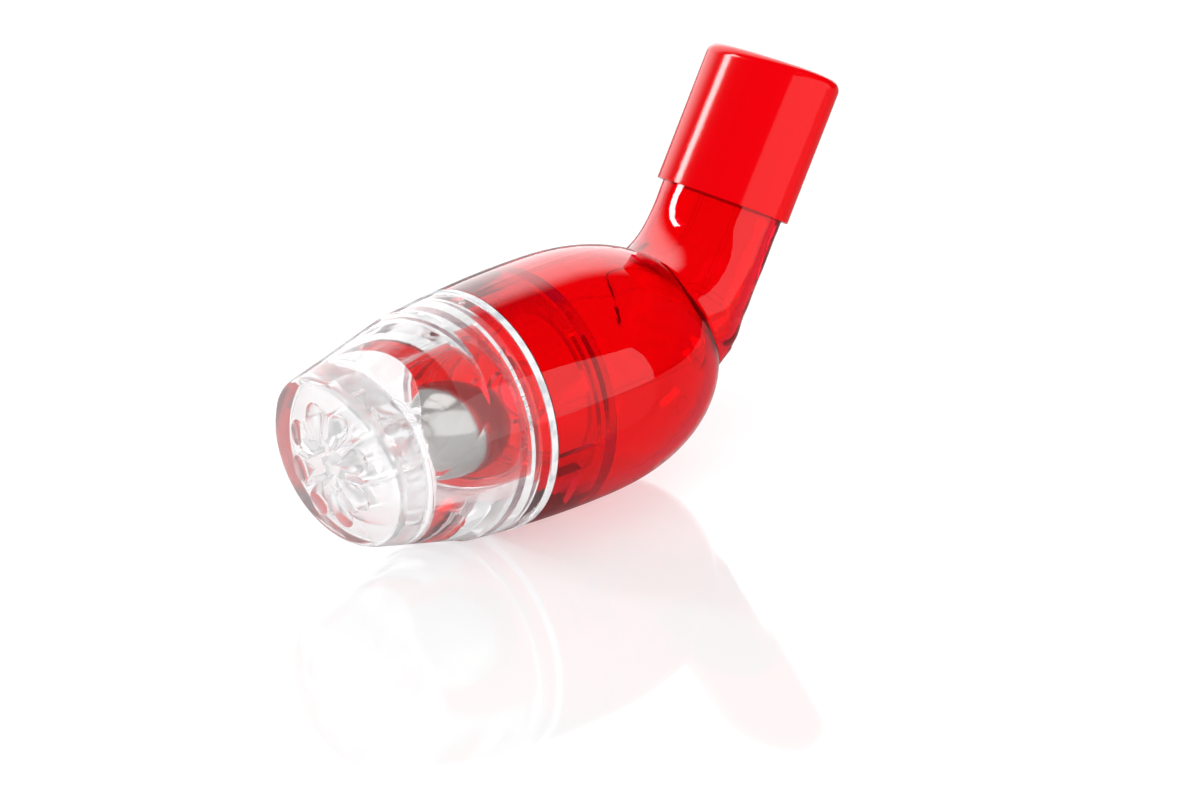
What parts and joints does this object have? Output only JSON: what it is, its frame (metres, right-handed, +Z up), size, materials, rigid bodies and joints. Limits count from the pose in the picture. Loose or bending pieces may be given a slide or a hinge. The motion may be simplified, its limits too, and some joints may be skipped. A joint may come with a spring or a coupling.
{
  "type": "oscillating breathing trainer",
  "caption": "Hand-held breathing trainer: red egg-shaped housing with an oval mouthpiece tube, clear perforated nose on a bayonet, loose steel ball in a cone, pull-off mouthpiece cap.",
  "frame": {"origin": "under the middle of the device, at the lowest point of the housing", "axes": "+X along the head's axis from the nose to the rear, +Z up, the tube and its cap lie in the plane Y = 0"},
  "size_m": [0.1142, 0.0456, 0.0726],
  "materials": {
    "red_clear": "see-through red, smooth gloss",
    "red_insert": "see-through red, smooth gloss",
    "steel": "polished steel",
    "clear": "clear, smooth gloss",
    "red_opaque": "opaque red, smooth gloss"
  },
  "bodies": {
    "body": {"housing": "red_clear", "ball_cone": "red_insert"},
    "ball": {"steel_ball": "steel"},
    "nose": {"perforated_cap": "clear"},
    "mouth_cap": {"mouthpiece_cap": "red_opaque"}
  },
  "joints": [
    {"name": "ball_roll", "type": "slide", "parent": "body", "child": "ball", "axis": [0.788, 0, 0.6157], "range_m": [0, 0.0038]},
    {"name": "nose_twist", "type": "hinge", "parent": "body", "child": "nose", "pos_m": [-0.02362, 0, 0.02285], "axis": [-1, 0, 0], "range_deg": [0, 30]},
    {"name": "mouth_cap_pull", "type": "slide", "parent": "body", "child": "mouth_cap", "axis": [0.5105, 0, 0.8599], "range_m": [0, 0.03]}
  ]
}
